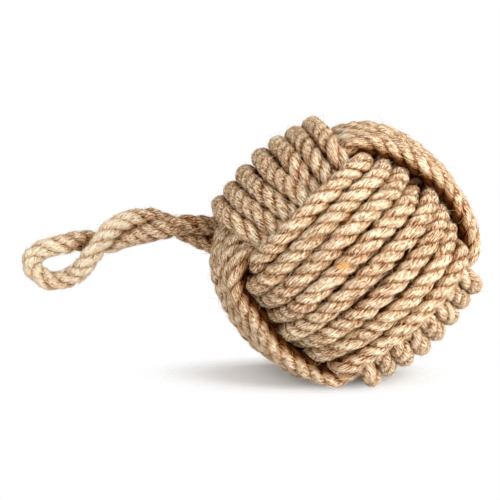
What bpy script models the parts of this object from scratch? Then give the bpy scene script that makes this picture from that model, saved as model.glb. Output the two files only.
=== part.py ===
"""Rope knot doorstop: a monkey's fist of thick jute rope tied round a sand bag, with a carry loop.

Metres, +Z up, +X from the loop towards the ball. The floor is z = 0 and the origin lies on the flat
of a pass that the ball stands on.
The knot is tied as it is by hand: its passes are laid round the core loosely, then drawn down until
they lie on the core and on each other.
"""

import math

import bmesh
import bpy
import numpy as np
from mathutils import Euler, Vector

# Rope
ROPE_DIAMETER = 0.012
ROPE_CLEARANCE = 0.00054  # taken off the rope's radius, so that touching passes stay apart
ROPE_SIDES = 7
RING_TURN = math.radians(19.0)  # the most that the rope may bend between two rings
RING_SAG = 0.00035  # the most that a straight stretch between two rings may cut a bend
RING_SPACING = 0.030

# Knot, in rope diameters
WRAPS = 8  # passes of each band on its outer faces
CORE_PER_WRAP = 0.625  # radius of the core for each pass of a band
LOOSE_ROOM = 2.4  # from the core to the loose passes
LOOSE_SWELL = 0.75  # how far the loose passes lie over and under their middle
LOOSE_PITCH = 1.02
POINT_SPACING = 0.46
TIE_STEPS = 420
SETTLE_STEPS = 120
LEAD_SHARE = 0.5  # of the tying steps, in which the led ends come to their places
PULL = 0.53  # of each point towards the middle of its neighbours, at first and at the end
PULL_LAST = 0.03
PULL_EASE = 0.6  # share of the tying steps after which the pull eases
PAIR_STEPS = 8  # steps between two searches for near passes
PAIR_REACH = 1.45
PUSH_ROUNDS = 3  # in each step while the knot is drawn, and while it settles
SETTLE_ROUNDS = 5
PUSH_FACTOR = 1.35
OWN_REACH = 3.0  # along one rope, within which it doesn't push itself
BENDING = 0.9  # how stiffly the rope resists a sharp bend
FLOOR_DEPTH = 6.70  # from the middle of the ball to the floor
PRESSED_HEIGHT = 0.38  # of the centre line of a pass that the ball's weight presses on the floor
KNOT_TURN = (math.radians(-90.0), math.radians(-42.6), math.radians(4.3))
STANDING_PASS = 1.40  # from the middle of the ball to the pass under it that the origin lies on

# Carry loop, in rope diameters from the middle of its root, chosen by hand
ROOT_RADIUS = 7.6  # from the middle of the ball to the loop's root
LEG_OFFSET = 0.515  # from the middle between the two legs to each leg
ROOT_POINTS = 3  # points of each leg that run straight out of the knot
LOWER_LEG = ((-0.50, 0.0, -0.50), (-1.25, 0.15, -0.22), (-1.90, 0.20, 0.12))
UPPER_LEG = ((-0.50, -0.05, 0.50), (-1.20, -0.50, 0.65), (-1.85, -0.70, 0.70))
LIFT_POINT = (-2.55, -0.33, 0.50)
LIFT_AXIS = (0.0, 0.988, -0.156)
EYE = (
    (-3.25, 0.10, 0.75),
    (-3.90, -0.10, 0.97),
    (-4.55, -0.40, 1.03),
    (-5.20, -0.63, 0.90),
    (-5.85, -0.88, 0.60),
    (-6.35, -1.03, 0.08),
    (-6.85, -1.09, -0.53),
    (-7.32, -1.00, -1.22),
    (-7.90, -0.80, -1.92),
    (-8.60, -0.67, -2.36),
    (-9.30, -0.55, -2.52),
    (-9.98, -0.48, -2.33),
    (-10.42, -0.43, -1.92),
    (-10.59, -0.41, -1.49),
    (-10.41, -0.40, -1.07),
    (-9.96, -0.39, -0.76),
    (-9.28, -0.38, -0.56),
    (-8.60, -0.34, -0.40),
    (-7.95, -0.24, -0.28),
    (-7.30, -0.10, -0.29),
    (-6.96, -0.06, -0.38),
    (-6.28, -0.10, -0.43),
    (-5.82, -0.21, -0.27),
    (-5.24, -0.39, -0.08),
    (-4.56, -0.54, 0.09),
    (-3.87, -0.73, 0.26),
    (-3.20, -0.84, 0.43),
)  # out along the lower leg, round the eye and back along the upper leg
SPLINE_STEPS = 8
HINGE_GAP = 0.0004
DOME_RINGS = 3
FINE_STEP = 0.001  # metres, for measuring bends
BEND_REACH = 6  # fine steps each way over which a bend is measured

# Sand bag
BAG_WALL = 0.0008
PART_GAP = 0.0003
NECK_RADIUS = 0.0055
NECK_BORE = 0.0022
NECK_HEIGHT = 0.0115
NECK_FLARE = 0.0025
CRATER_RADIUS = 0.016
CRATER_DEPTH = 0.0135
CRATER_FLOOR = 0.0105  # radius of the crater's flat floor
CRATER_BEND = (0.4, 0.3)  # the crater's wall bends at these shares of its width and its height
CORE_RINGS = 12
TWINE_DIAMETER = 0.0022
TWINE_TURNS = 1.75
TWINE_LIFT = 0.0018  # from the crater's floor to the twine
TWINE_CLIMB = 1.12  # along the neck for each turn, in twine diameters
TWINE_RINGS = 14
TWINE_SIDES = 6
TURNED_SIDES = 24

CORE = WRAPS * CORE_PER_WRAP
LAID_RADIUS = CORE + 0.5  # to the centre line of a pass that lies on the core
PRESSED_DEPTH = FLOOR_DEPTH - PRESSED_HEIGHT
LAID_DEPTH = PRESSED_DEPTH - 1.0  # two layers of rope lie between the core and the floor
CORE_BASE = LAID_DEPTH - 0.5
SOLID_RADIUS = ROPE_DIAMETER / 2 - ROPE_CLEARANCE
BALL_CENTRE = Vector((-STANDING_PASS * ROPE_DIAMETER, 0.0, FLOOR_DEPTH * ROPE_DIAMETER))

# Colour and roughness of each piece
JUTE = (0.53, 0.36, 0.21, 1.0)
JUTE_SHADED = (0.42, 0.28, 0.16, 1.0)
JUTE_PALE = (0.60, 0.43, 0.27, 1.0)
COTTON = (0.16, 0.09, 0.045, 1.0)
TWINE = (0.80, 0.77, 0.70, 1.0)
SAND = (0.58, 0.46, 0.30, 1.0)

# Each band of passes: the axis it lies outermost on, the axis it runs towards and the axis it steps
# along, where it starts in turns, its turns over the number of passes and the turn of its first pass.
BANDS = (
    ("first_wraps", (2, 0, 1), 0.625, -0.4, 0.375),
    ("second_wraps", (0, 1, 2), 0.75, 0.0, 0.5),
    ("third_wraps", (1, 2, 0), 0.625, -0.4, 0.375),
)
LEG_SIDES = {"first_wraps": -1.0, "third_wraps": 1.0}  # the loop's legs, below and above its middle


def knot_to_world():
    """The knot's own axes in the world; the third is mirrored, which makes the knot's hand right."""
    return np.array(Euler(KNOT_TURN, "XYZ").to_matrix()) * np.array([1.0, 1.0, -1.0])


def to_world(points):
    """Knot points in rope diameters to world points in metres."""
    return points @ knot_to_world().T * ROPE_DIAMETER + np.array(BALL_CENTRE)


def to_knot(direction):
    """A world direction in the knot's own axes."""
    return knot_to_world().T @ np.array(direction)


def root_corner():
    """Direction of the knot's corner where the loop comes out, in the knot's own axes."""
    return -np.ones(3) / math.sqrt(3.0)


def root_frame():
    """Direction out of the knot at the loop's root and the direction up across it, in the world."""
    out = Vector(knot_to_world() @ root_corner())
    up = Vector((0.0, 0.0, 1.0))
    return out, (up - out * up.dot(out)).normalized()


def root_point():
    return BALL_CENTRE + root_frame()[0] * ROOT_RADIUS * ROPE_DIAMETER


def loose_band(axes, start, extra, first_pass):
    """Turns of one band, further out on its own two faces and further in under the other bands."""
    out, run, across = axes
    per_turn = round(2 * math.pi * (CORE + 1.0) / POINT_SPACING)
    turns = np.linspace(0.0, WRAPS + extra, round((WRAPS + extra) * per_turn) + 1)
    angle = 2 * math.pi * (start + turns)
    step = (turns - first_pass - (WRAPS - 1) / 2) * LOOSE_PITCH
    radius = np.sqrt((CORE + LOOSE_ROOM + LOOSE_SWELL * np.cos(2 * angle)) ** 2 - step**2)
    path = np.zeros((len(turns), 3))
    path[:, out] = radius * np.cos(angle)
    path[:, run] = radius * np.sin(angle)
    path[:, across] = step
    return path


def tucked_end(point, across):
    """Where a rope's end lies on the core under the passes, at the same step across its band."""
    level = point.copy()
    level[across] = 0.0
    tucked = level / np.linalg.norm(level) * math.sqrt(LAID_RADIUS**2 - point[across] ** 2)
    tucked[across] = point[across]
    return tucked


def loose_knot():
    """The loose bands, and for each the points that are led: their numbers and where they end up."""
    up = to_knot(root_frame()[1])
    paths = []
    led = []
    for name, axes, start, extra, first_pass in BANDS:
        path = loose_band(axes, start, extra, first_pass)
        goals = {}
        if name in LEG_SIDES:
            leg = up * LEG_OFFSET * LEG_SIDES[name]
            outer = root_corner() * (CORE + 2 * LOOSE_ROOM) + leg
            count = int(np.linalg.norm(outer - path[0]) / POINT_SPACING)
            share = np.linspace(0.0, 1.0, count, endpoint=False)[:, None]
            path = np.vstack([outer + (path[0] - outer) * share, path])
            for k in range(ROOT_POINTS):
                goals[k] = root_corner() * (ROOT_RADIUS - k * POINT_SPACING) + leg
        else:
            goals[0] = tucked_end(path[0], axes[2])
        goals[len(path) - 1] = tucked_end(path[-1], axes[2])
        paths.append(path)
        led.append(goals)
    return paths, led


def near_pairs(points, band, reach):
    """Pairs of points nearer than reach that aren't close neighbours along one rope."""
    squares = (points**2).sum(axis=1)
    apart = squares[:, None] + squares[None, :] - 2 * points @ points.T
    a, b = np.where(np.triu(apart < reach**2, 1))
    neighbours = math.ceil(OWN_REACH / POINT_SPACING)
    keep = (band[a] != band[b]) | (b - a > neighbours)
    return a[keep], b[keep]


def part_passes(points, a, b):
    """Moves passes that overlap apart."""
    delta = points[a] - points[b]
    distance = np.sqrt((delta**2).sum(axis=1))
    near = distance < 1.0
    a = a[near]
    b = b[near]
    push = 0.5 * (1.0 / distance[near] - 1.0)[:, None] * delta[near]
    size = len(points)
    count = np.bincount(a, minlength=size) + np.bincount(b, minlength=size)
    moves = [np.bincount(a, push[:, k], size) - np.bincount(b, push[:, k], size) for k in range(3)]
    points += PUSH_FACTOR * np.stack(moves, axis=1) / np.maximum(count, 1)[:, None]


def keep_clear(points, down):
    """Keeps the passes outside the core, which is a ball with a flat base, and above the floor."""
    radius = np.sqrt((points**2).sum(axis=1))
    depth = points @ down
    round_lack = LAID_RADIUS - radius
    base_lack = LAID_DEPTH - depth
    on_round = (round_lack > 0.0) & (round_lack <= base_lack)
    on_base = (base_lack > 0.0) & (base_lack < round_lack)
    points[on_round] *= (LAID_RADIUS / radius[on_round])[:, None]
    points[on_base] += base_lack[on_base][:, None] * down
    points -= np.maximum(points @ down - PRESSED_DEPTH, 0.0)[:, None] * down


def tie_knot():
    """Centre line of each band of the tied knot, from the loop's end inwards, in rope diameters."""
    paths, led = loose_knot()
    sizes = [len(path) for path in paths]
    starts = np.cumsum([0] + sizes)
    points = np.vstack(paths)
    band = np.repeat(np.arange(len(paths)), sizes)
    held = np.array([starts[k] + i for k, goals in enumerate(led) for i in goals])
    last = np.array([goals[i] for goals in led for i in goals])
    first = points[held].copy()
    free = np.setdiff1d(np.arange(len(points)), held)
    stiff = np.setdiff1d(free, np.concatenate([starts[1:] - 2, starts[:-1] + 1]))
    down = to_knot((0.0, 0.0, -1.0))
    for step in range(TIE_STEPS + SETTLE_STEPS):
        drawing = step < TIE_STEPS
        points[held] = first + (last - first) * min(1.0, step / (LEAD_SHARE * TIE_STEPS))
        if step % PAIR_STEPS == 0:
            a, b = near_pairs(points, band, PAIR_REACH)
        late = max(0.0, step / TIE_STEPS - PULL_EASE) / (1.0 - PULL_EASE)
        pull = PULL + (PULL_LAST - PULL) * late if drawing else 0.0
        points[free] += pull * (0.5 * (points[free - 1] + points[free + 1]) - points[free])
        bend = 4 * (points[stiff - 1] + points[stiff + 1]) - points[stiff - 2] - points[stiff + 2]
        points[stiff] += BENDING / 16 * (bend - 6 * points[stiff])
        for _ in range(PUSH_ROUNDS if drawing else SETTLE_ROUNDS):
            part_passes(points, a, b)
            keep_clear(points, down)
    return {BANDS[k][0]: points[starts[k]:starts[k + 1]] for k in range(len(paths))}


def smooth_path(points):
    """A smooth line through points that were chosen by hand."""
    points = np.array(points)
    before = np.vstack([2 * points[0] - points[1], points[:-1]])
    after = np.vstack([points[1:], 2 * points[-1] - points[-2]])
    slope = (after - before) / 2
    share = np.linspace(0.0, 1.0, SPLINE_STEPS, endpoint=False)[:, None, None]
    start = points[:-1] * (2 * share**3 - 3 * share**2 + 1) + slope[:-1] * (share**3 - 2 * share**2 + share)
    end = points[1:] * (3 * share**2 - 2 * share**3) + slope[1:] * (share**3 - share**2)
    return np.vstack([(start + end).transpose(1, 0, 2).reshape(-1, 3), points[-1:]])


def path_lengths(path):
    return np.concatenate([[0.0], np.cumsum(np.linalg.norm(np.diff(path, axis=0), axis=1))])


def points_along(path, lengths):
    total = path_lengths(path)
    return np.stack([np.interp(lengths, total, path[:, k]) for k in range(3)], axis=1)


def trimmed(path, first, last):
    """The path without its first and last stretches, of the given lengths."""
    total = path_lengths(path)
    inside = (total > first + 1e-6) & (total < total[-1] - last - 1e-6)
    ends = points_along(path, np.array([first, total[-1] - last]))
    return np.vstack([ends[:1], path[inside], ends[1:]])


def ring_points(path):
    """Points of the path for a tube's rings: close in a sharp bend, further apart on a gentle one."""
    total = path_lengths(path)[-1]
    fine = points_along(path, np.linspace(0.0, total, round(total / FINE_STEP) + 1))
    step = total / (len(fine) - 1)
    tangent = np.diff(fine, axis=0)
    tangent /= np.linalg.norm(tangent, axis=1)[:, None]
    ahead = tangent[np.minimum(np.arange(len(tangent)) + BEND_REACH, len(tangent) - 1)]
    behind = tangent[np.maximum(np.arange(len(tangent)) - BEND_REACH, 0)]
    turn = np.arccos(np.clip((ahead * behind).sum(axis=1), -1.0, 1.0)) / (2 * BEND_REACH * step)
    density = np.maximum(np.maximum(turn / RING_TURN, np.sqrt(turn / (8 * RING_SAG))), 1 / RING_SPACING)
    rings = np.concatenate([[0.0], np.cumsum(density * step)])
    count = max(2, math.ceil(rings[-1]))
    places = np.interp(np.linspace(0.0, rings[-1], count + 1), rings, np.arange(len(fine)))
    return points_along(path, places * step)


def path_frames(centres):
    """Tangent and two directions across it for each ring, turned as little as possible on the way."""
    steps = np.diff(centres, axis=0)
    steps /= np.linalg.norm(steps, axis=1)[:, None]
    tangents = [Vector(steps[0])]
    tangents += [Vector(a + b).normalized() for a, b in zip(steps[:-1], steps[1:])]
    tangents.append(Vector(steps[-1]))
    across = tangents[0].orthogonal().normalized()
    frames = []
    previous = tangents[0]
    for tangent in tangents:
        across = previous.rotation_difference(tangent) @ across
        across = (across - tangent * across.dot(tangent)).normalized()
        frames.append((tangent, across, tangent.cross(across)))
        previous = tangent
    return frames


def tube(path, radius, sides, domes=(False, False)):
    """A closed tube of rings round the path; a domed end is round about the path's last point."""
    centres = ring_points(path)
    frames = path_frames(centres)
    rings = [(Vector(centre), frame, radius) for centre, frame in zip(centres, frames)]
    for at_end, domed in enumerate(domes):
        if not domed:
            continue
        centre, frame, _ = rings[-1] if at_end else rings[0]
        away = frame[0] if at_end else -frame[0]
        cap = []
        for k in range(1, DOME_RINGS + 1):
            angle = math.pi / 2 * k / (DOME_RINGS + 0.5)
            cap.append((centre + away * radius * math.sin(angle), frame, radius * math.cos(angle)))
        rings = rings + cap if at_end else cap[::-1] + rings
    mesh = bmesh.new()
    loops = []
    for centre, (_, u, v), size in rings:
        loop = []
        for k in range(sides):
            angle = 2 * math.pi * k / sides
            loop.append(mesh.verts.new(centre + u * size * math.cos(angle) + v * size * math.sin(angle)))
        loops.append(loop)
    for low, high in zip(loops[:-1], loops[1:]):
        for k in range(sides):
            j = (k + 1) % sides
            mesh.faces.new((low[k], low[j], high[j], high[k]))
    mesh.faces.new(loops[0][::-1])
    mesh.faces.new(loops[-1])
    return mesh


def turned(profile):
    """A closed body of revolution about the upright axis from (radius, height) pairs, bottom first."""
    mesh = bmesh.new()
    loops = []
    for radius, height in profile:
        if radius < 1e-9:
            loops.append([mesh.verts.new((0.0, 0.0, height))])
            continue
        ring = []
        for k in range(TURNED_SIDES):
            angle = 2 * math.pi * k / TURNED_SIDES
            ring.append(mesh.verts.new((radius * math.cos(angle), radius * math.sin(angle), height)))
        loops.append(ring)
    for low, high in zip(loops[:-1], loops[1:]):
        for k in range(TURNED_SIDES):
            j = (k + 1) % TURNED_SIDES
            corners = [low[k % len(low)], low[j % len(low)], high[j % len(high)], high[k % len(high)]]
            mesh.faces.new(list(dict.fromkeys(corners)))
    return mesh


def cut_on_floor(mesh):
    """Gives a pass that is pressed on the floor its flat."""
    everything = mesh.verts[:] + mesh.edges[:] + mesh.faces[:]
    cut = bmesh.ops.bisect_plane(
        mesh, geom=everything, plane_co=(0.0, 0.0, 0.0), plane_no=(0.0, 0.0, 1.0), clear_inner=True
    )
    edges = [item for item in cut["geom_cut"] if isinstance(item, bmesh.types.BMEdge)]
    if edges:
        bmesh.ops.holes_fill(mesh, edges=edges, sides=0)


def material(name, colour, roughness):
    made = bpy.data.materials.new(name)
    made.use_nodes = True
    made.diffuse_color = colour
    shader = made.node_tree.nodes["Principled BSDF"]
    shader.inputs["Base Color"].default_value = colour
    shader.inputs["Roughness"].default_value = roughness
    shader.inputs["Metallic"].default_value = 0.0
    return made


def piece(name, mesh, origin, colour, roughness):
    """Adds one piece whose own origin is at the given world point."""
    bmesh.ops.translate(mesh, verts=mesh.verts, vec=-Vector(origin))
    bmesh.ops.recalc_face_normals(mesh, faces=mesh.faces)
    for face in mesh.faces:
        face.smooth = True
    data = bpy.data.meshes.new(name)
    mesh.to_mesh(data)
    mesh.free()
    data.materials.append(material(name, colour, roughness))
    made = bpy.data.objects.new(name, data)
    made.location = origin
    bpy.context.scene.collection.objects.link(made)
    return made


def core_profile(shrink):
    """Half section of the core, a ball with a flat base and a crater at its top, drawn in by shrink."""
    radius = CORE * ROPE_DIAMETER - PART_GAP - shrink
    base = CORE_BASE * ROPE_DIAMETER - PART_GAP - shrink
    crater = CRATER_RADIUS + shrink
    low = -math.asin(base / radius)
    high = math.acos(crater / radius)
    profile = [(0.0, -base)]
    for k in range(CORE_RINGS + 1):
        angle = low + (high - low) * k / CORE_RINGS
        profile.append((radius * math.cos(angle), radius * math.sin(angle)))
    floor = radius - CRATER_DEPTH
    rim = profile[-1]
    flat = CRATER_FLOOR + shrink / 2
    wide, high = CRATER_BEND
    profile.append((flat + (rim[0] - flat) * wide, floor + (rim[1] - floor) * high))
    profile.append((flat, floor))
    return profile, floor


def build_core():
    """The sand, the cloth bag round it with its gathered neck, and the twine round the neck."""
    outer, outer_floor = core_profile(0.0)
    inner, _ = core_profile(BAG_WALL)
    inner_floor = outer_floor - BAG_WALL
    top = outer_floor + NECK_HEIGHT
    neck = [
        (NECK_RADIUS, outer_floor),
        (NECK_RADIUS, top - NECK_FLARE),
        (NECK_RADIUS + NECK_FLARE / 2, top),
    ]
    bore = [(NECK_BORE, top), (NECK_BORE, inner_floor)]
    bag = turned(outer + neck + bore + inner[::-1])
    sand, sand_floor = core_profile(BAG_WALL + PART_GAP)
    fill = turned(sand + [(0.0, sand_floor)])
    coil = NECK_RADIUS + PART_GAP + TWINE_DIAMETER / 2
    low = outer_floor + TWINE_LIFT + TWINE_DIAMETER / 2
    path = []
    for k in range(round(TWINE_TURNS * TWINE_RINGS) + 1):
        turn = k / TWINE_RINGS
        angle = 2 * math.pi * turn
        height = low + turn * TWINE_CLIMB * TWINE_DIAMETER
        path.append((coil * math.cos(angle), coil * math.sin(angle), height))
    twine = tube(np.array(path), TWINE_DIAMETER / 2, TWINE_SIDES)
    for name, mesh, colour, roughness in (
        ("sand_fill", fill, SAND, 0.95),
        ("sand_bag", bag, COTTON, 0.9),
        ("bag_tie", twine, TWINE, 0.85),
    ):
        bmesh.ops.translate(mesh, verts=mesh.verts, vec=BALL_CENTRE)
        piece(name, mesh, BALL_CENTRE, colour, roughness)


def build_wraps():
    """The knot's three windings; two of them end at the loop's root."""
    colours = {"first_wraps": JUTE, "second_wraps": JUTE_SHADED, "third_wraps": JUTE}
    for name, path in tie_knot().items():
        path = to_world(path)
        if name in LEG_SIDES:
            path = trimmed(path, SOLID_RADIUS + HINGE_GAP, 0.0)
        mesh = tube(path, SOLID_RADIUS, ROPE_SIDES)
        cut_on_floor(mesh)
        piece(name, mesh, BALL_CENTRE, colours[name], 0.9)


def build_loop():
    """The loop's two stem legs, which swing at the root, and its eye, which lifts on the stem."""
    root = np.array(root_point())
    up = np.array(root_frame()[1])
    lift = root + np.array(LIFT_POINT) * ROPE_DIAMETER
    axis = np.array(Vector(LIFT_AXIS).normalized())
    lift_ends = {}
    short = SOLID_RADIUS + HINGE_GAP
    for name, side, middle in (("lower_leg", -1.0, LOWER_LEG), ("upper_leg", 1.0, UPPER_LEG)):
        start = root + up * side * LEG_OFFSET * ROPE_DIAMETER
        lift_ends[name] = lift - axis * side * LEG_OFFSET * ROPE_DIAMETER
        path = [start] + [root + np.array(point) * ROPE_DIAMETER for point in middle] + [lift_ends[name]]
        path = trimmed(smooth_path(path), 0.0, short)
        mesh = tube(path, SOLID_RADIUS, ROPE_SIDES, domes=(True, False))
        piece(name, mesh, root, JUTE_SHADED, 0.9)
    path = [root + np.array(point) * ROPE_DIAMETER for point in EYE]
    path = smooth_path([lift_ends["lower_leg"]] + path + [lift_ends["upper_leg"]])
    mesh = tube(path, SOLID_RADIUS, ROPE_SIDES, domes=(True, True))
    piece("carry_eye", mesh, lift, JUTE_PALE, 0.9)


for item in list(bpy.data.objects):
    bpy.data.objects.remove(item, do_unlink=True)

build_core()
build_wraps()
build_loop()
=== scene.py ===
import math

import bpy
import numpy as np
from mathutils import Euler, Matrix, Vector


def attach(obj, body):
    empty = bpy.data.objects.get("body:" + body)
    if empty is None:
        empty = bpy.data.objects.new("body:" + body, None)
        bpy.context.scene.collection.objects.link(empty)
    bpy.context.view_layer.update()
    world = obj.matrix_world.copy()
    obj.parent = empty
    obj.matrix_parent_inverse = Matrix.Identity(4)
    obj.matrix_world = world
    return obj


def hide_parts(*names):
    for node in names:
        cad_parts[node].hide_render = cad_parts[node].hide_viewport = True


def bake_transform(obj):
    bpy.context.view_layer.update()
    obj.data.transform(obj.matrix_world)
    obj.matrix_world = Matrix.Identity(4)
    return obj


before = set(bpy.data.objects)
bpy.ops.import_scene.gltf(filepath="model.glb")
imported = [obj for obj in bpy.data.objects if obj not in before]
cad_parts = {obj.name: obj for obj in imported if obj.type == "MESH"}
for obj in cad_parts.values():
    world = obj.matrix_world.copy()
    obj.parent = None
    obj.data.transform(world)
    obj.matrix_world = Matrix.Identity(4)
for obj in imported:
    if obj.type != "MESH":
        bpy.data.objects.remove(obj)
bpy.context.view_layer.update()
scene = bpy.context.scene
scene.view_settings.view_transform = "Standard"

rope = {
    "diameter": 0.012,
    "layLength": 2.55,  # along the rope for one turn of its strands, in diameters
    "strands": 3,
    "strandRadius": 0.66,  # of one strand, in rope radii
    "strandOffset": 0.37,  # from the rope's axis to a strand's, in rope radii
    "columnsPerStrand": 11,
    "stepsPerPoint": 4,  # rings for each point of a centre line
    "curveSteps": 8,  # steps of the smooth curve for each point, before the rings are spaced evenly
    "swell": (0.045, 0.02),  # of a strand along the rope, slow and quick, as a share of its height
    "swellLength": (0.028, 0.009),  # metres along the rope from one swelling to the next
    "roughness": 0.014,  # of the surface from point to point, as a share of its height
    "toneDrift": (0.04, 0.05),  # how far a strand's tone changes, and over what length
    "twist": (0.17, 0.045),  # how far the lay runs ahead or behind, in radians, and over what length
    "fullness": 1.03,  # a pass presses into its neighbours by this much
    "buriedShade": (0.9, 0.6),  # height over the core up to which a pass is painted in shade, and over which that painted shade lifts
    "overFloor": 0.0003,  # metres between the rope and the floor
    "seed": 11,  # of the first winding, with one more for each after it
}

knot = {
    "wraps": 8,  # passes of each band on its outer faces
    "corePerWrap": 0.625,  # all lengths of the knot are in rope diameters
    "looseRoom": 2.4,  # between the core and a loose band
    "looseSwell": 0.75,  # of a loose band, outwards on two faces and inwards on two
    "loosePitch": 1.02,  # from one pass of a loose band to the next
    "pointSpacing": 0.46,  # between two points of a centre line
    "tieSteps": 420,
    "settleSteps": 120,
    "leadShare": 0.5,  # of the tying steps, in which the led points come to their places
    "pull": (0.53, 0.03),  # towards the middle of a point's neighbours, at first and at the end
    "pullEase": 0.6,  # share of the tying steps after which the pull eases
    "pairSteps": 8,  # steps between two searches for near passes
    "pairReach": 1.45,  # how near two points are to count as a pair
    "ownReach": 3.0,  # along one rope, within which it doesn't push itself
    "pushRounds": (3, 5),  # in each step while the knot is drawn, and while it settles
    "pushFactor": 1.35,  # over 1, so that it takes fewer rounds
    "bending": 0.9,  # share of a zigzag that goes in each step
    "floorDepth": 6.70,  # from the middle of the ball to the floor
    "pressedHeight": 0.38,  # of the centre line of a pass pressed on the floor
    "standingPass": 1.40,  # from the middle of the ball to the pass that the origin lies on
    "turn": (-90.0, -42.6, 4.3),  # of the whole knot about X, Y and Z, in degrees
    "rootRadius": 7.6,  # from the middle of the ball to the loop's root
    "rootPoints": 3,  # points of each leg that run straight out of the knot
    "legOffset": 0.515,  # from the middle between the two legs to each leg
}

# Each band: its node, the axis it lies outermost on, the axis it runs towards, the axis it steps along,
# its first turn, its turns over the number of passes, the turn of its first pass, the side of its leg.
bands = (
    ("first_wraps", (2, 0, 1), 0.625, -0.4, 0.375, -1.0),
    ("second_wraps", (0, 1, 2), 0.75, 0.0, 0.5, 0.0),
    ("third_wraps", (1, 2, 0), 0.625, -0.4, 0.375, 1.0),
)

core = knot["wraps"] * knot["corePerWrap"]
laidRadius = core + 0.5  # to the centre line of a pass that lies on the core
pressedDepth = knot["floorDepth"] - knot["pressedHeight"]
laidDepth = pressedDepth - 1.0  # two layers of rope lie between the core's flat base and the floor
ballCentre = np.array([-knot["standingPass"], 0.0, knot["floorDepth"]]) * rope["diameter"]
knotToWorld = np.array(Euler([math.radians(a) for a in knot["turn"]], "XYZ").to_matrix()) * [1, 1, -1]
rootCorner = -np.ones(3) / math.sqrt(3.0)


# World point = knot axes times the knot point, times the rope's diameter, plus the ball's middle. The
# third axis is turned round, which makes it the knot of the other hand.
def toWorld(points):
    return points @ knotToWorld.T * rope["diameter"] + ballCentre


# The same turned back: a world direction in the knot's axes.
def toKnot(direction):
    return knotToWorld.T @ np.array(direction, float)


rootOut = knotToWorld @ rootCorner
rootUp = np.array([0.0, 0.0, 1.0]) - rootOut * rootOut[2]
rootUp /= np.linalg.norm(rootUp)
root = ballCentre + rootOut * knot["rootRadius"] * rope["diameter"]


# Camera, at the photograph's height, distance and tilt.
camera = {
    "fromBall": (-0.0582, -0.7902, 0.1255),
    "tilt": 9.0,  # degrees down from level
    "lens": 90.3,  # millimetres, as is the sensor's width
    "sensor": 36.0,
    "clipStart": 0.01,
}


# The camera stands off the ball's middle, looks along +Y and is tilted down.
def makeCamera():
    data = bpy.data.cameras.new("camera")
    data.lens = camera["lens"]
    data.sensor_width = camera["sensor"]
    data.clip_start = camera["clipStart"]
    made = bpy.data.objects.new("camera", data)
    made.location = ballCentre + camera["fromBall"]
    made.rotation_euler = (math.radians(90.0 - camera["tilt"]), 0.0, 0.0)
    scene.collection.objects.link(made)
    scene.camera = made


makeCamera()
print("camera set")


# A loose band: x = r cos a on its outer axis, r sin a on the axis it runs towards and an even step on
# the third; r = sqrt((R + swell cos 2a)^2 - step^2), so it lies outside on two faces and inside on two.
def looseBand(axes, start, extra, firstPass):
    out, run, across = axes
    perTurn = round(2 * math.pi * (core + 1.0) / knot["pointSpacing"])
    count = knot["wraps"] + extra
    turns = np.linspace(0.0, count, round(count * perTurn) + 1)
    angle = 2 * math.pi * (start + turns)
    step = (turns - firstPass - (knot["wraps"] - 1) / 2) * knot["loosePitch"]
    reach = core + knot["looseRoom"] + knot["looseSwell"] * np.cos(2 * angle)
    radius = np.sqrt(reach**2 - step**2)
    path = np.zeros((len(turns), 3))
    path[:, out] = radius * np.cos(angle)
    path[:, run] = radius * np.sin(angle)
    path[:, across] = step
    return path


# A rope's end on the core: the same step across the band, and the rest of it on the core's surface.
def tuckedEnd(point, across):
    level = point.copy()
    level[across] = 0.0
    tucked = level / np.linalg.norm(level) * math.sqrt(laidRadius**2 - point[across] ** 2)
    tucked[across] = point[across]
    return tucked


# All loose bands, with the points that are led to a place: their numbers and where they end up.
def looseKnot():
    up = toKnot(rootUp)
    paths = []
    led = []
    for name, axes, start, extra, firstPass, side in bands:
        path = looseBand(axes, start, extra, firstPass)
        goals = {}
        if side:
            leg = up * knot["legOffset"] * side
            outer = rootCorner * (core + 2 * knot["looseRoom"]) + leg
            count = int(np.linalg.norm(outer - path[0]) / knot["pointSpacing"])
            share = np.linspace(0.0, 1.0, count, endpoint=False)[:, None]
            path = np.vstack([outer + (path[0] - outer) * share, path])
            for k in range(knot["rootPoints"]):
                goals[k] = rootCorner * (knot["rootRadius"] - k * knot["pointSpacing"]) + leg
        else:
            goals[0] = tuckedEnd(path[0], axes[2])
        goals[len(path) - 1] = tuckedEnd(path[-1], axes[2])
        paths.append(path)
        led.append(goals)
    return paths, led


# Pairs of points nearer than reach, by |p|^2 + |q|^2 - 2 p.q, but no close neighbours on one rope.
def nearPairs(points, band, reach):
    squares = (points**2).sum(axis=1)
    apart = squares[:, None] + squares[None, :] - 2 * points @ points.T
    a, b = np.where(np.triu(apart < reach**2, 1))
    keep = (band[a] != band[b]) | (b - a > math.ceil(knot["ownReach"] / knot["pointSpacing"]))
    return a[keep], b[keep]


# Each pair nearer than one diameter moves apart by half its overlap, and a point by the mean of its
# moves times the push factor.
def partPasses(points, a, b):
    delta = points[a] - points[b]
    distance = np.sqrt((delta**2).sum(axis=1))
    near = distance < 1.0
    a = a[near]
    b = b[near]
    push = 0.5 * (1.0 / distance[near] - 1.0)[:, None] * delta[near]
    size = len(points)
    count = np.bincount(a, minlength=size) + np.bincount(b, minlength=size)
    moves = [np.bincount(a, push[:, k], size) - np.bincount(b, push[:, k], size) for k in range(3)]
    points += knot["pushFactor"] * np.stack(moves, axis=1) / np.maximum(count, 1)[:, None]


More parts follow.
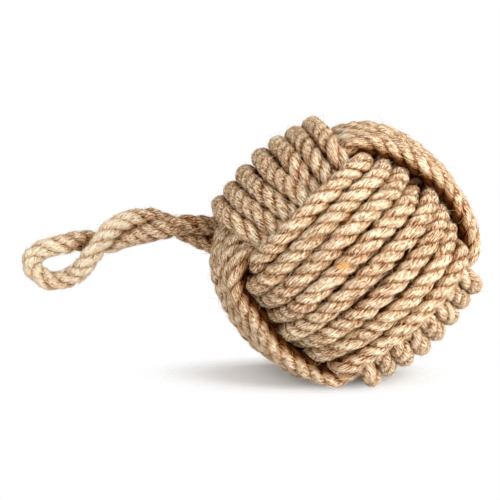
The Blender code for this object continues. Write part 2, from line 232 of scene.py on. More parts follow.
# Points inside the core, a ball with a flat base, go out by what they lack in radius or in depth, and
# none goes below the pressed pass on the floor.
def keepClear(points, down):
    radius = np.sqrt((points**2).sum(axis=1))
    roundLack = laidRadius - radius
    baseLack = laidDepth - points @ down
    onRound = (roundLack > 0.0) & (roundLack <= baseLack)
    onBase = (baseLack > 0.0) & (baseLack < roundLack)
    points[onRound] *= (laidRadius / radius[onRound])[:, None]
    points[onBase] += baseLack[onBase][:, None] * down
    points -= np.maximum(points @ down - pressedDepth, 0.0)[:, None] * down


# The knot drawn tight: every point goes towards the middle of its neighbours, a fourth difference
# takes out sharp bends, and the passes part where they touch. The last steps only part them.
def tieKnot():
    paths, led = looseKnot()
    sizes = [len(path) for path in paths]
    starts = np.cumsum([0] + sizes)
    points = np.vstack(paths)
    band = np.repeat(np.arange(len(paths)), sizes)
    held = np.array([starts[k] + i for k, goals in enumerate(led) for i in goals])
    last = np.array([goals[i] for goals in led for i in goals])
    first = points[held].copy()
    free = np.setdiff1d(np.arange(len(points)), held)
    stiff = np.setdiff1d(free, np.concatenate([starts[1:] - 2, starts[:-1] + 1]))
    down = toKnot((0.0, 0.0, -1.0))
    pullFirst, pullLast = knot["pull"]
    for step in range(knot["tieSteps"] + knot["settleSteps"]):
        drawing = step < knot["tieSteps"]
        points[held] = first + (last - first) * min(1.0, step / (knot["leadShare"] * knot["tieSteps"]))
        if step % knot["pairSteps"] == 0:
            a, b = nearPairs(points, band, knot["pairReach"])
        late = max(0.0, step / knot["tieSteps"] - knot["pullEase"]) / (1.0 - knot["pullEase"])
        pull = pullFirst + (pullLast - pullFirst) * late if drawing else 0.0
        points[free] += pull * (0.5 * (points[free - 1] + points[free + 1]) - points[free])
        bend = 4 * (points[stiff - 1] + points[stiff + 1]) - points[stiff - 2] - points[stiff + 2]
        points[stiff] += knot["bending"] / 16 * (bend - 6 * points[stiff])
        for _ in range(knot["pushRounds"][0 if drawing else 1]):
            partPasses(points, a, b)
            keepClear(points, down)
    return [toWorld(points[starts[k] : starts[k + 1]]) for k in range(len(paths))]


centreLines = dict(zip([band[0] for band in bands], tieKnot()))
print("knot tied")


# Carry loop: points given one by one, in rope diameters from the middle of its root.
loop = {
    "lowerLeg": ((-0.50, 0.0, -0.50), (-1.25, 0.15, -0.22), (-1.90, 0.20, 0.12)),
    "upperLeg": ((-0.50, -0.05, 0.50), (-1.20, -0.50, 0.65), (-1.85, -0.70, 0.70)),
    "liftPoint": (-2.55, -0.33, 0.50),
    "liftAxis": (0.0, 0.98776, -0.15596),
    "eye": (
        (-3.25, 0.10, 0.75),
        (-3.90, -0.10, 0.97),
        (-4.55, -0.40, 1.03),
        (-5.20, -0.63, 0.90),
        (-5.85, -0.88, 0.60),
        (-6.35, -1.03, 0.08),
        (-6.85, -1.09, -0.53),
        (-7.32, -1.00, -1.22),
        (-7.90, -0.80, -1.92),
        (-8.60, -0.67, -2.36),
        (-9.30, -0.55, -2.52),
        (-9.98, -0.48, -2.33),
        (-10.42, -0.43, -1.92),
        (-10.59, -0.41, -1.49),
        (-10.41, -0.40, -1.07),
        (-9.96, -0.39, -0.76),
        (-9.28, -0.38, -0.56),
        (-8.60, -0.34, -0.40),
        (-7.95, -0.24, -0.28),
        (-7.30, -0.10, -0.29),
        (-6.96, -0.06, -0.38),
        (-6.28, -0.10, -0.43),
        (-5.82, -0.21, -0.27),
        (-5.24, -0.39, -0.08),
        (-4.56, -0.54, 0.09),
        (-3.87, -0.73, 0.26),
        (-3.20, -0.84, 0.43),
    ),
    "curveSteps": 12,
    "insideKnot": 5,  # points of each band that the loop's pieces take over inside the knot
    # The loop's tone and fullness at shares of its rope, from the end in the first wraps. The tone is
    # darker towards both roots and paler through the eye; its dip at 0.66 is painted shadow behind the near
    # leg.
    "toneAt": (0.0, 0.13, 0.17, 0.23, 0.27, 0.38, 0.56, 0.62, 0.66, 0.70, 0.80, 0.85, 0.88, 1.0),
    "tones": (0.55, 0.62, 0.85, 1.05, 1.50, 1.40, 1.32, 1.22, 0.90, 1.45, 1.02, 0.86, 0.62, 0.55),
    "fullAt": (0.0, 0.22, 0.34, 0.75, 0.86, 1.0),
    "fullness": (1.06, 1.12, 1.10, 1.13, 1.12, 1.06),
    "phase": 1 / 6,  # of the lay's turn, so that strands and not grooves meet between the legs
    "creaseShade": (1.9, 0.6),  # painted shade darkens a side where another stretch lies nearer than this, over how much
    "rootBend": (0.008, 0.012),  # metres inside and outside the root over which the swing bends the legs
    "liftBend": (0.009, 0.012),  # metres before and after the lift point over which the lift bends them
    "seed": 17,
}


# Hermite curve through the points, with the slope (next - previous) / 2 at each.
def smoothPath(points, steps):
    points = np.array(points)
    before = np.vstack([2 * points[0] - points[1], points[:-1]])
    after = np.vstack([points[1:], 2 * points[-1] - points[-2]])
    slope = (after - before) / 2
    t = np.linspace(0.0, 1.0, steps, endpoint=False)[:, None, None]
    head = points[:-1] * (2 * t**3 - 3 * t**2 + 1) + slope[:-1] * (t**3 - 2 * t**2 + t)
    tail = points[1:] * (3 * t**2 - 2 * t**3) + slope[1:] * (t**3 - t**2)
    return np.vstack([(head + tail).transpose(1, 0, 2).reshape(-1, 3), points[-1:]])


# The way along to each point: the running sum of the distances between neighbours.
def lengthsAlong(path):
    return np.concatenate([[0.0], np.cumsum(np.linalg.norm(np.diff(path, axis=0), axis=1))])


# The path again, its points an even step apart on the straight lines between the old ones.
def evenPath(path, step):
    along = lengthsAlong(path)
    places = np.linspace(0.0, along[-1], round(along[-1] / step) + 1)
    return np.stack([np.interp(places, along, path[:, k]) for k in range(3)], axis=1)


# Two directions across each tangent, turned as little as possible: a free choice of directions, less
# the running sum of the angle by which each differs from the one before, carried over without a twist.
def quietFrames(path):
    tangent = np.gradient(path, axis=0)
    tangent /= np.linalg.norm(tangent, axis=1)[:, None]
    helper = np.eye(3)[np.argmin(np.abs(tangent), axis=1)]
    u = np.cross(tangent, helper)
    u /= np.linalg.norm(u, axis=1)[:, None]
    v = np.cross(tangent, u)
    both = tangent[:-1] + tangent[1:]
    scale = (u[:-1] * tangent[1:]).sum(axis=1) / (1.0 + (tangent[:-1] * tangent[1:]).sum(axis=1))
    carried = u[:-1] - scale[:, None] * both
    differ = np.arctan2((carried * v[1:]).sum(axis=1), (carried * u[1:]).sum(axis=1))
    turn = np.concatenate([[0.0], np.cumsum(differ)])[:, None]
    across = u * np.cos(turn) + v * np.sin(turn)
    return tangent, across, np.cross(tangent, across)


# A smooth random line: a sum of sines of the place, with random lengths about the given one and random
# phases, over the root of half their number.
def wander(generator, places, length, terms=6, shortest=0.6, longest=1.8):
    total = np.zeros_like(places)
    for _ in range(terms):
        wave = length * generator.uniform(shortest, longest)
        total += np.sin(2 * math.pi * (places / wave + generator.uniform()))
    return total / math.sqrt(terms / 2)


# Laid rope: each strand is a circle off the rope's axis, r = c cos a + sqrt(s^2 - c^2 sin^2 a) for
# sixty degrees each way, and the three turn together with the way along, right-handed, from a phase in
# turns. Height and tone drift by smooth random lines. A point of the ball is open by the share of its
# normal that faces away from the ball's middle, and not at all where an inner pass lies under others;
# the jute paints shade where a point is not open.
def ropeSurface(path, seed, tone, fullness, onBall, phase=0.0):
    generator = np.random.default_rng(seed)
    radius = rope["diameter"] / 2 * fullness[:, None]
    along = lengthsAlong(path)
    tangent, across, beside = quietFrames(path)
    columns = rope["columnsPerStrand"]
    share = np.arange(columns) / columns * 2 - 1
    local = math.pi / rope["strands"] * np.sin(math.pi / 2 * share)
    offset = rope["strandOffset"]
    lobe = offset * np.cos(local) + np.sqrt(rope["strandRadius"] ** 2 - (offset * np.sin(local)) ** 2)
    strand = np.repeat(np.arange(rope["strands"]), columns)
    angle = np.tile(local, rope["strands"]) + strand * 2 * math.pi / rope["strands"]
    turns = along / (rope["layLength"] * rope["diameter"]) + phase
    ahead = rope["twist"][0] * wander(generator, along, rope["twist"][1])
    turned = angle[None, :] + (2 * math.pi * turns + ahead)[:, None]
    height = np.tile(lobe, rope["strands"])[None, :] * np.ones((len(path), 1))
    lobeHeight = (height - lobe.min()) / (lobe.max() - lobe.min())
    tones = tone[:, None] * np.ones_like(height)
    slow, quick = rope["swell"]
    slowLength, quickLength = rope["swellLength"]
    drift, driftLength = rope["toneDrift"]
    for k in range(rope["strands"]):
        mine = strand == k
        swell = slow * wander(generator, along, slowLength) + quick * wander(generator, along, quickLength)
        height[:, mine] += swell[:, None] * lobeHeight[:, mine]
        tones[:, mine] *= 1 + drift * wander(generator, along, driftLength)[:, None]
    height += generator.normal(0.0, rope["roughness"], height.shape) * lobeHeight
    ring = across[:, None, :] * np.cos(turned)[:, :, None] + beside[:, None, :] * np.sin(turned)[:, :, None]
    grid = path[:, None, :] + ring * (height * radius)[:, :, None]
    grid[:, :, 2] = np.maximum(grid[:, :, 2], rope["overFloor"])
    # faces is the open share: the jute paints shade on sides turned towards the ball's middle and on buried
    # passes.
    faces = np.ones_like(height)
    if onBall:
        away = grid - ballCentre
        depth = np.linalg.norm(away, axis=2)
        darkHeight, fade = rope["buriedShade"]
        lit = np.clip((depth / rope["diameter"] - core - darkHeight) / fade, 0.0, 1.0)
        faces = (away * ring).sum(axis=2) / depth * lit
    fibre = np.stack([np.repeat(along[:, None], grid.shape[1], 1), np.cos(turned), np.sin(turned)], axis=2)
    lay = np.stack([tones, lobeHeight, faces], axis=2)
    return {"grid": grid, "normal": ring, "tangent": tangent, "fibre": fibre, "lay": lay, "path": path}


# The same surface from one of its rings up to another.
def stretch(surface, first, last):
    return {key: value[first:last] for key, value in surface.items()}


# One vector for each point of a mesh.
def addAttribute(data, name, values):
    layer = data.attributes.new(name, "FLOAT_VECTOR", "POINT")
    layer.data.foreach_set("vector", np.ascontiguousarray(values, dtype=np.float32).ravel())


# A finished mesh with its material, as an object of the scene.
def addObject(name, data, material):
    data.materials.append(material)
    data.update()
    made = bpy.data.objects.new(name, data)
    scene.collection.objects.link(made)
    return made


# A closed mesh from grids of rings: quads between neighbours, and a fan to the middle of each end.
def meshFromRings(name, surfaces, material):
    points = []
    faces = []
    fibre = []
    lay = []
    base = 0
    for surface in surfaces:
        rings, columns = surface["grid"].shape[:2]
        number = base + np.arange(rings * columns).reshape(rings, columns)
        nextColumn = np.roll(number, -1, axis=1)
        quads = np.stack([number[:-1], nextColumn[:-1], nextColumn[1:], number[1:]], axis=2)
        faces += quads.reshape(-1, 4).tolist()
        points.append(surface["grid"].reshape(-1, 3))
        fibre.append(surface["fibre"].reshape(-1, 3))
        lay.append(surface["lay"].reshape(-1, 3))
        base += rings * columns
        for end, flip in ((0, True), (rings - 1, False)):
            rim = base + np.arange(columns)
            points.append(surface["grid"][end])
            points.append(surface["grid"][end].mean(axis=0)[None, :])
            fibre += [surface["fibre"][end], surface["fibre"][end][:1]]
            lay += [surface["lay"][end], surface["lay"][end][:1]]
            fan = np.stack([rim, np.roll(rim, -1), np.full(columns, base + columns)], axis=1)
            faces += (fan[:, ::-1] if flip else fan).tolist()
            base += columns + 1
    data = bpy.data.meshes.new(name)
    data.from_pydata(np.vstack(points), [], faces)
    data.polygons.foreach_set("use_smooth", np.ones(len(data.polygons), dtype=bool))
    addAttribute(data, "fibre", np.vstack(fibre))
    addAttribute(data, "lay", np.vstack(lay))
    return addObject(name, data, material)


# A node with its sockets or settings set by name.
def addNode(tree, kind, **values):
    node = tree.nodes.new(kind)
    for key, value in values.items():
        if key in node.inputs:
            node.inputs[key].default_value = value
        else:
            setattr(node, key, value)
    return node


# A new material, its nodes and its shader.
def newMaterial(name):
    made = bpy.data.materials.new(name)
    made.use_nodes = True
    tree = made.node_tree
    return made, tree, tree.nodes["Principled BSDF"]


# One sum, product or other operation of two values, each a number or a socket.
def maths(tree, operation, first, second):
    node = tree.nodes.new("ShaderNodeMath")
    node.operation = operation
    for socket, value in zip(node.inputs, (first, second)):
        if isinstance(value, (int, float)):
            socket.default_value = value
        else:
            tree.links.new(value, socket)
    return node.outputs[0]


# The start plus the sum of (value - middle) times its weight, over the parts.
def mixed(tree, start, parts):
    total = start
    for value, middle, weight in parts:
        off = maths(tree, "SUBTRACT", value, middle)
        total = maths(tree, "ADD", maths(tree, "MULTIPLY", off, weight), total)
    return total


# Noise of a place, from 0 to 1.
def noiseOf(tree, place, scale, detail, roughness):
    node = addNode(tree, "ShaderNodeTexNoise", Scale=scale, Detail=detail, Roughness=roughness)
    tree.links.new(place, node.inputs["Vector"])
    return node.outputs["Fac"]


# A colour that runs from stop to stop with the factor.
def ramp(tree, factor, stops):
    node = tree.nodes.new("ShaderNodeValToRGB")
    while len(node.color_ramp.elements) < len(stops):
        node.color_ramp.elements.new(0.5)
    for element, (place, shade) in zip(node.color_ramp.elements, stops):
        element.position = place
        element.color = (*shade, 1.0)
    tree.links.new(factor, node.inputs["Fac"])
    return node.outputs["Color"]


# Two colours blended, each a socket or three numbers.
def mixColour(tree, blend, factor, first, second):
    node = tree.nodes.new("ShaderNodeMix")
    node.data_type = "RGBA"
    node.blend_type = blend
    for socket, value in ((node.inputs[0], factor), (node.inputs[6], first), (node.inputs[7], second)):
        if isinstance(value, (int, float)):
            socket.default_value = value
        elif isinstance(value, tuple):
            socket.default_value = (*value, 1.0)
        else:
            tree.links.new(value, socket)
    return node.outputs[2]


# The shader's normals tilted by a height.
def addBump(tree, shader, height, strength, depth):
    bump = addNode(tree, "ShaderNodeBump", Strength=strength, Distance=depth)
    tree.links.new(height, bump.inputs["Height"])
    tree.links.new(bump.outputs["Normal"], shader.inputs["Normal"])


# An sRGB colour, 0 to 255, as the linear value that a shader reads.
def colour(red, green, blue):
    shares = np.array([red, green, blue]) / 255
    return tuple(np.where(shares <= 0.04045, shares / 12.92, ((shares + 0.055) / 1.055) ** 2.4))


jute = {
    "colours": (  # by the sum
        (0.34, colour(100, 57, 27)),
        (0.44, colour(176, 127, 87)),
        (0.51, colour(220, 184, 145)),
        (0.63, colour(254, 240, 214)),
    ),
    "fibres": {  # length, number across one radian, detail, roughness, and weight in the colour
        "streak": (0.0026, 12.0, 5.0, 0.80, 0.90),
        "yarn": (0.0100, 3.6, 3.0, 0.65, 0.10),
        "stroke": (0.0034, 12.5, 1.0, 0.50, 0.84),
    },
    "spots": {  # scale, detail, roughness, and weight in the colour
        "blotch": (34.0, 3.0, 0.7, 0.18),
        "speck": (640.0, 4.0, 0.7, 0.36),
    },
    "lobe": (0.70, 0.15),  # middle of the height on a strand, and its weight in the colour: painted light on the crowns, painted shade on the sides
    "tone": (1.0, 0.28),  # the same of the rope's tone, which on the loop holds painted shadow
    "edge": (0.35, 0.24),  # weights of the streaks and of the tone in where a groove's painted shade begins
    # What the colour is multiplied by: painted shade in a groove and where a side turns inwards, and a tint
    # over the blotches.
    "grooveShade": ((0.0, (0.46, 0.21, 0.05)), (0.12, (0.85, 0.73, 0.58)), (0.33, (1, 1, 1))),
    "inside": ((0.0, (0.14, 0.056, 0.016)), (0.38, (0.68, 0.54, 0.41)), (0.70, (1, 1, 1))),
    "tint": ((0.40, (1.0, 0.95, 0.93)), (0.60, (0.98, 1.0, 0.97))),
    "relief": {"yarn": 0.6, "speck": 0.7},  # beside the streaks
    "bump": (0.9, 0.0014),  # strength and depth
    "roughness": (0.2, 0.78),  # by the streaks, and without them
}


# Jute: a weighted sum of streaks and longer strokes of fibre along the rope, coarser yarns, blotches and
# specks over the ball, the height on a strand and the tone picks the colour; the height paints light on the
# crowns. It is multiplied by painted shade in the grooves where the strands meet and where a pass turns in
# towards its neighbour.
def juteMaterial(name):
    made, tree, shader = newMaterial(name)
    fibre = addNode(tree, "ShaderNodeAttribute", attribute_name="fibre")
    lay = addNode(tree, "ShaderNodeAttribute", attribute_name="lay")
    apart = tree.nodes.new("ShaderNodeSeparateXYZ")
    tree.links.new(lay.outputs["Vector"], apart.inputs[0])
    # faces is the open share, low where shade is painted; lobe paints light on the crowns and shade on the
    # sides.
    tone, lobe, faces = apart.outputs
    noise = {}
    parts = []
    for key, (length, count, detail, roughness, weight) in jute["fibres"].items():
        mapping = addNode(tree, "ShaderNodeMapping", Scale=(1.0 / length, count, count))
        tree.links.new(fibre.outputs["Vector"], mapping.inputs["Vector"])
        noise[key] = noiseOf(tree, mapping.outputs["Vector"], 1.0, detail, roughness)
        parts.append((noise[key], 0.5, weight))
    place = addNode(tree, "ShaderNodeTexCoord")
    for key, (scale, detail, roughness, weight) in jute["spots"].items():
        noise[key] = noiseOf(tree, place.outputs["Object"], scale, detail, roughness)
        parts.append((noise[key], 0.5, weight))
    parts += [(lobe, *jute["lobe"]), (tone, *jute["tone"])]
    base = ramp(tree, mixed(tree, 0.5, parts), jute["colours"])
    byStreak, byTone = jute["edge"]
    edge = mixed(tree, 0.0, ((lobe, 0.0, 1.0), (noise["streak"], 0.5, byStreak), (tone, 1.0, byTone)))
    # Painted shade in the grooves and on sides turned inwards or buried, then the tint of the blotches.
    for value, stops in ((edge, "grooveShade"), (faces, "inside"), (noise["blotch"], "tint")):
        base = mixColour(tree, "MULTIPLY", 1.0, base, ramp(tree, value, jute[stops]))
    tree.links.new(base, shader.inputs["Base Color"])
    relief = noise["streak"]
    for key, weight in jute["relief"].items():
        relief = maths(tree, "ADD", relief, maths(tree, "MULTIPLY", noise[key], weight))
    addBump(tree, shader, relief, *jute["bump"])
    uneven, least = jute["roughness"]
    rough = maths(tree, "ADD", maths(tree, "MULTIPLY", noise["streak"], uneven), least)
    tree.links.new(rough, shader.inputs["Roughness"])
    shader.inputs["Specular IOR Level"].default_value = 0.0
    return made


fuzz = {
    "segments": 2,
    "sides": 3,
    "tones": (0.06, 0.93),  # of the plain hairs
    "colours": (  # by a hair's tone: red-brown, then brown to pale, and golden at the end
        (0.0, colour(150, 62, 28)),
        (0.06, colour(128, 84, 48)),
        (0.45, colour(206, 165, 120)),
        (0.93, colour(251, 229, 193)),
        (1.0, colour(240, 190, 110)),
    ),
    "roughness": 0.8,
    "kinds": {  # least and most length, rise and thickness, and how much a hair curls
        "lying": ((0.0018, 0.0060), (0.0001, 0.0008), (0.00006, 0.00016), 0.3),
        "stray": ((0.005, 0.011), (0.001, 0.004), (0.00007, 0.00012), 0.35),
        "tuft": ((0.0024, 0.0050), (0.0010, 0.0028), (0.00009, 0.00015), 0.5),
        "snag": ((0.0050, 0.0090), (0.0010, 0.0035), (0.00011, 0.00017), 0.8),
    },
    "onWraps": {"lying": 12800, "stray": 420},  # how many grow on each winding, on the legs and the eye
    "onLegs": {"lying": 1200, "stray": 30},
    "onEye": {"lying": 4400, "stray": 80},
    "seeds": (31, 41, 43),  # of the first winding, with one more for each after it, the legs and the eye
    "open": 0.35,  # hairs start where a strand is this open
    "overCore": 1.1,  # this high over the core, in rope diameters
    "overFloor": (0.001, 0.0002),  # and this high over the floor, and stay this high
    "tuftPlaces": 12,  # from which a tuft grows
    "swing": 0.6,  # off the rope's own way, in radians
    "rooted": 0.0002,  # deep in the strand
    "riseBend": 1.4,  # power of the rise
    "taper": 0.7,  # share of the thickness lost by the end
}

# Snagged fibres: the band, the way to them from the ball's middle in degrees, their kind, number and
# tones. The lowest tones are red-brown and the highest golden.
snags = (
    ("first_wraps", (-93.0, 2.5), "tuft", 120, (0.97, 1.0)),
    ("first_wraps", (-92.3, 21.7), "tuft", 30, (0.0, 0.02)),
    ("first_wraps", (-119.8, -8.0), "tuft", 40, (0.60, 0.92)),
    ("first_wraps", (-72.6, 32.5), "tuft", 14, (0.05, 0.20)),
    ("second_wraps", (-139.8, 7.0), "snag", 10, (0.88, 0.93)),
    ("third_wraps", (155.0, 20.0), "tuft", 30, (0.60, 0.92)),
    ("second_wraps", (70.0, 15.0), "tuft", 40, (0.97, 1.0)),
)


# What grows where: of each batch its kind, its number, the places where it may start and its tones. A
# tuft takes the open places nearest to its way from the ball's middle.
def hairBatches(start, faces, counts, node):
    depth = np.linalg.norm(start - ballCentre, axis=1) / rope["diameter"]
    isOpen = (faces > fuzz["open"]) & (depth > core + fuzz["overCore"])
    openPlaces = np.where(isOpen & (start[:, 2] > fuzz["overFloor"][0]))[0]
    batches = [(kind, count, openPlaces, fuzz["tones"]) for kind, count in counts.items()]
    for band, towards, kind, count, tones in snags:
        if band == node:
            azimuth, height = np.radians(towards)
            level = math.cos(height)
            way = [level * math.cos(azimuth), level * math.sin(azimuth), math.sin(height)]
            nearness = (start[openPlaces] - ballCentre) @ way / depth[openPlaces]
            nearest = np.argsort(-nearness)[: fuzz["tuftPlaces"]]
            batches.append((kind, count, openPlaces[nearest], tones))
    return batches


# The points of a batch of hairs. A hair's spine at the share t of its length is its start plus its way
# times t, its rise times t^1.4 and its curl times t^2. A ring of points round it gets smaller with t.
def hairPoints(generator, kind, count, start, out, heading):
    lengths, rises, thicknesses, curls = fuzz["kinds"][kind]
    t = np.linspace(0.0, 1.0, fuzz["segments"] + 1)
    angles = 2 * math.pi * np.arange(fuzz["sides"]) / fuzz["sides"]
    run = heading * generator.choice([-1.0, 1.0], count)[:, None]
    swing = generator.normal(0.0, fuzz["swing"], count)[:, None]
    run = run * np.cos(swing) + np.cross(run, out) * np.sin(swing)
    side = np.cross(run, out)
    length = generator.uniform(*lengths, count)[:, None]
    rise = generator.uniform(*rises, count)[:, None]
    curl = generator.normal(0.0, curls, count)[:, None] * length
    thickness = generator.uniform(*thicknesses, count)
    spine = (start - out * fuzz["rooted"])[:, None]
    spine = spine + (run * length)[:, None] * t[None, :, None]
    spine = spine + (out * rise)[:, None] * (t ** fuzz["riseBend"])[None, :, None]
    spine = spine + (side * curl)[:, None] * (t**2)[None, :, None]
    width = thickness[:, None, None] * (1.0 - fuzz["taper"] * t)[None, :, None]
    around = out[:, None, None] * np.cos(angles)[None, None, :, None]
    around = around + side[:, None, None] * np.sin(angles)[None, None, :, None]
    return (spine[:, :, None] + around * width[..., None]).reshape(-1, 3)


# Loose fibres as one mesh of three-sided hairs: quads between the rings of each, closed at both ends.
def fuzzMesh(name, surfaces, material, seed, counts, node=""):
    generator = np.random.default_rng(seed)
    start = np.vstack([surface["grid"].reshape(-1, 3) for surface in surfaces])
    normal = np.vstack([surface["normal"].reshape(-1, 3) for surface in surfaces])
    columns = surfaces[0]["grid"].shape[1]
    heading = np.vstack([np.repeat(surface["tangent"], columns, axis=0) for surface in surfaces])
    faces = np.concatenate([surface["lay"][:, :, 2].ravel() for surface in surfaces])
    segments = fuzz["segments"]
    sides = fuzz["sides"]
    hairSize = (segments + 1) * sides
    points = []
    hairTones = []
    for kind, count, places, toneRange in hairBatches(start, faces, counts, node):
        chosen = generator.choice(places, count)
        points.append(hairPoints(generator, kind, count, start[chosen], normal[chosen], heading[chosen]))
        hairTones.append(np.repeat(generator.uniform(*toneRange, count), hairSize))
    points = np.vstack(points)
    points[:, 2] = np.maximum(points[:, 2], fuzz["overFloor"][1])
    first = (np.arange(len(points) // hairSize) * hairSize)[:, None, None]
    low = np.arange(segments)[None, :, None] * sides + np.arange(sides)[None, None, :]
    beside = np.arange(segments)[None, :, None] * sides + np.roll(np.arange(sides), -1)[None, None, :]
    quads = np.stack([first + low, first + beside, first + beside + sides, first + low + sides], axis=3)
    tips = first[:, :, 0] + segments * sides + np.arange(sides)[None, :]
    roots = first[:, :, 0] + np.arange(sides)[None, ::-1]
    data = bpy.data.meshes.new(name)
    data.from_pydata(points, [], quads.reshape(-1, 4).tolist() + tips.tolist() + roots.tolist())
    layer = data.attributes.new("tone", "FLOAT", "POINT")
    layer.data.foreach_set("value", np.concatenate(hairTones).astype(np.float32))
    return addObject(name, data, material)


# A loose fibre takes its colour from its tone.
def fuzzMaterial():
    made, tree, shader = newMaterial("looseFibre")
    tone = addNode(tree, "ShaderNodeAttribute", attribute_name="tone")
    tree.links.new(ramp(tree, tone.outputs["Fac"], fuzz["colours"]), shader.inputs["Base Color"])
    shader.inputs["Roughness"].default_value = fuzz["roughness"]
    shader.inputs["Specular IOR Level"].default_value = 0.0
    return made


ropeMaterial = juteMaterial("jute")
looseFibre = fuzzMaterial()
spacing = knot["pointSpacing"] * rope["diameter"] / rope["stepsPerPoint"]


# The three windings, each one rope, riding with the ball.
def makeWraps():
    for number, (name, axes, start, extra, firstPass, side) in enumerate(bands):
        line = centreLines[name]
        if side:
            line = line[loop["insideKnot"] - 1 :]
        path = evenPath(smoothPath(line, rope["curveSteps"]), spacing)
        plain = np.ones(len(path))
        surface = ropeSurface(path, rope["seed"] + number, plain, plain * rope["fullness"], True)
        piece = meshFromRings(f"{name}_rope", [surface], ropeMaterial)
        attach(piece, "ball")
        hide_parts(name)
        seed = fuzz["seeds"][0] + number
        hair = fuzzMesh(f"{name}_fuzz", [surface], looseFibre, seed, fuzz["onWraps"], name)
        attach(hair, "ball")
        print(name, "laid,", len(path), "rings")


# How far each point lies in the crease between two stretches of the loop: the part of its normal that
# faces the nearest other stretch, times how near that is. The jute paints shade there.
def creaseShadeMask(path, along, normal):
    gap = np.linalg.norm(path[:, None] - path[None, :], axis=2) / rope["diameter"]
    gap[np.abs(along[:, None] - along[None, :]) < knot["ownReach"] * rope["diameter"]] = np.inf
    nearest = gap.argmin(axis=1)
    gap = gap.min(axis=1)
    towards = (path[nearest] - path) / (gap * rope["diameter"])[:, None]
    reach, fade = loop["creaseShade"]
    near = np.clip((reach - gap) / fade, 0.0, 1.0)
    return near[:, None] * np.clip((normal * towards[:, None]).sum(axis=2), 0.0, 1.0)


# The loop is one rope from the first wraps through the eye to the third wraps, in two pieces, cut at the
# second point of each leg: both legs' ends, and the rest.
def makeLoop():
    lift = root + np.array(loop["liftPoint"]) * rope["diameter"]
    legSide = np.array(loop["liftAxis"]) * knot["legOffset"] * rope["diameter"]
    inside = loop["insideKnot"]
    lower = [root + np.array(point) * rope["diameter"] for point in loop["lowerLeg"]]
    upper = [root + np.array(point) * rope["diameter"] for point in loop["upperLeg"]]
    eye = [root + np.array(point) * rope["diameter"] for point in loop["eye"]]
    line = list(centreLines["first_wraps"][:inside][::-1]) + lower + [lift + legSide]
    line += eye + [lift - legSide] + upper[::-1] + list(centreLines["third_wraps"][:inside])
    path = evenPath(smoothPath(line, loop["curveSteps"]), spacing)
    along = lengthsAlong(path)
    tone = np.interp(along / along[-1], loop["toneAt"], loop["tones"])
    fullness = np.interp(along / along[-1], loop["fullAt"], loop["fullness"])
    surface = ropeSurface(path, loop["seed"], tone, fullness, False, loop["phase"])
    # Painted shade in the creases where one stretch of the loop lies against another.
    surface["lay"][:, :, 2] -= creaseShadeMask(path, along, surface["normal"])
    toPath = np.linalg.norm(path[None, :] - np.array([lower[1], upper[1]])[:, None], axis=2)
    firstCut, secondCut = np.argmin(toPath, axis=1)
    legs = [stretch(surface, 0, firstCut + 1), stretch(surface, secondCut, len(path))]
    middle = stretch(surface, firstCut, secondCut + 1)
    legPiece = meshFromRings("loop_root", legs, ropeMaterial)
    legHair = fuzzMesh("loop_root_fuzz", legs, looseFibre, fuzz["seeds"][1], fuzz["onLegs"])
    for piece in (legPiece, legHair):
        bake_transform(piece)
    eyePiece = meshFromRings("loop_eye", [middle], ropeMaterial)
    eyeHair = fuzzMesh("loop_eye_fuzz", [middle], looseFibre, fuzz["seeds"][2], fuzz["onEye"])
    for piece in (eyePiece, eyeHair):
        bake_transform(piece)
    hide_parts("lower_leg", "upper_leg")
    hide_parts("carry_eye")


makeWraps()
makeLoop()


# The bag, its tie and the sand, which keep their CAD meshes.
inner = {
    # The bag's brown is painted shade, darkened so that the gaps between the passes read dark.
    "sand_bag": {"base": colour(112, 85, 60), "grain": 900.0},
    "bag_tie": {"base": colour(236, 230, 214), "grain": 1400.0},
    "sand_fill": {"base": colour(196, 176, 140), "grain": 1600.0},
    "detail": (4.0, 0.7),  # detail and roughness of the grain
    "darkest": 0.6,  # of the base colour
    "between": (0.3, 0.7),  # grain at the darkest and at the full colour
    "bump": (0.5, 0.0004),  # strength and depth
    "roughness": 0.92,
}


# A fine grain that runs from a darker tone to the full one and lifts the surface with it.
def finishCore():
    for node in ("sand_bag", "bag_tie", "sand_fill"):
        base = inner[node]["base"]
        made, tree, shader = newMaterial(f"{node}_finish")
        place = addNode(tree, "ShaderNodeTexCoord")
        grain = noiseOf(tree, place.outputs["Object"], inner[node]["grain"], *inner["detail"])
        darker = tuple(value * inner["darkest"] for value in base)
        stops = zip(inner["between"], (darker, base))
        tree.links.new(ramp(tree, grain, tuple(stops)), shader.inputs["Base Color"])
        addBump(tree, shader, grain, *inner["bump"])
        shader.inputs["Roughness"].default_value = inner["roughness"]
        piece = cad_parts[node]
        piece.data.materials.clear()
        piece.data.materials.append(made)


finishCore()
print("core finished")


studio = {
    "floorSize": 3.0,
    "shadowPlace": (-0.045, -0.004, 0.0),  # the floor is matt in an oval here and fades into the white
    "shadowSize": (0.112, 0.056, 1.0),
    "shadowFade": (0.38, 1.0),  # share of the oval where the fade begins, and where it ends
    "floorSeen": 1.0,  # the floor's colour for the camera and for the light that it throws back
    "floorThrown": 0.55,
    "floorGlow": 0.07,  # light of its own, for the camera
    "worldLevel": 0.66,  # of the white that the world lights with, where its background is 1
    "lamps": {  # place from the ball's middle, size and energy
        "key": ((0.50, -0.50, 0.75), 0.6, 3.0),
        "side": ((0.95, -0.75, 0.12), 0.6, 12.0),
        "front": ((-0.10, -1.30, 0.20), 0.9, 13.0),
    },
}


# One for the rays that show the background: the camera's, those off gloss and those through glass.
def seenRays(tree):
    path = addNode(tree, "ShaderNodeLightPath")
    shown = path.outputs["Is Camera Ray"]
    for kind in ("Is Glossy Ray", "Is Transmission Ray"):
        shown = maths(tree, "MAXIMUM", shown, path.outputs[kind])
    return shown


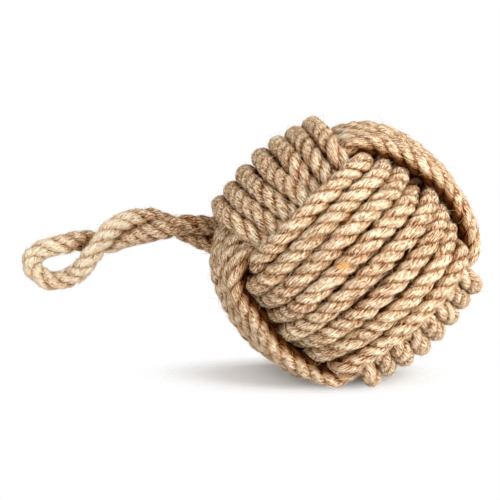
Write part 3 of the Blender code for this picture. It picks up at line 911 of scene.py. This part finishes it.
# The floor is matt, with some light of its own for the camera, and clear beyond its fade.
def makeFloor():
    half = studio["floorSize"] / 2
    corners = [(-half, -half, 0), (half, -half, 0), (half, half, 0), (-half, half, 0)]
    data = bpy.data.meshes.new("floor")
    data.from_pydata(corners, [], [(0, 1, 2, 3)])
    made, tree, shader = newMaterial("floorWhite")
    tree.nodes.remove(shader)
    output = tree.nodes["Material Output"]
    matt = addNode(tree, "ShaderNodeBsdfDiffuse")
    glow = addNode(tree, "ShaderNodeEmission")
    shown = seenRays(tree)
    seen = (studio["floorSeen"],) * 3
    thrown = (studio["floorThrown"],) * 3
    tree.links.new(mixColour(tree, "MIX", shown, thrown, seen), matt.inputs["Color"])
    tree.links.new(maths(tree, "MULTIPLY", shown, studio["floorGlow"]), glow.inputs["Strength"])
    both = addNode(tree, "ShaderNodeAddShader")
    tree.links.new(matt.outputs[0], both.inputs[0])
    tree.links.new(glow.outputs[0], both.inputs[1])
    place = addNode(tree, "ShaderNodeTexCoord")
    oval = addNode(
        tree,
        "ShaderNodeMapping",
        vector_type="TEXTURE",
        Location=studio["shadowPlace"],
        Scale=studio["shadowSize"],
    )
    tree.links.new(place.outputs["Object"], oval.inputs["Vector"])
    way = addNode(tree, "ShaderNodeVectorMath", operation="LENGTH")
    tree.links.new(oval.outputs["Vector"], way.inputs[0])
    fade = addNode(tree, "ShaderNodeMapRange", interpolation_type="SMOOTHSTEP")
    tree.links.new(way.outputs["Value"], fade.inputs["Value"])
    fade.inputs["From Min"].default_value = studio["shadowFade"][0]
    fade.inputs["From Max"].default_value = studio["shadowFade"][1]
    clear = addNode(tree, "ShaderNodeBsdfTransparent")
    faded = addNode(tree, "ShaderNodeMixShader")
    tree.links.new(fade.outputs["Result"], faded.inputs[0])
    tree.links.new(both.outputs[0], faded.inputs[1])
    tree.links.new(clear.outputs[0], faded.inputs[2])
    tree.links.new(faded.outputs[0], output.inputs["Surface"])
    floor = addObject("floor", data, made)


# White where it is seen, and the world's level of it where it lights the object.
def makeWorld():
    world = bpy.data.worlds.new("studio")
    world.use_nodes = True
    scene.world = world
    tree = world.node_tree
    background = tree.nodes["Background"]
    background.inputs["Color"].default_value = (1.0, 1.0, 1.0, 1.0)
    share = maths(tree, "MULTIPLY", seenRays(tree), 1.0 - studio["worldLevel"])
    tree.links.new(maths(tree, "ADD", share, studio["worldLevel"]), background.inputs["Strength"])


# A round soft lamp that looks at the ball's middle.
def makeLamp(name, place, size, energy):
    data = bpy.data.lights.new(name, "AREA")
    data.shape = "DISK"
    data.size = size
    data.energy = energy
    lamp = bpy.data.objects.new(name, data)
    lamp.location = ballCentre + place
    lamp.rotation_euler = (Vector(ballCentre) - lamp.location).to_track_quat("-Z", "Y").to_euler()
    scene.collection.objects.link(lamp)


makeFloor()
makeWorld()
for name, values in studio["lamps"].items():
    makeLamp(name, *values)
print("studio lit")
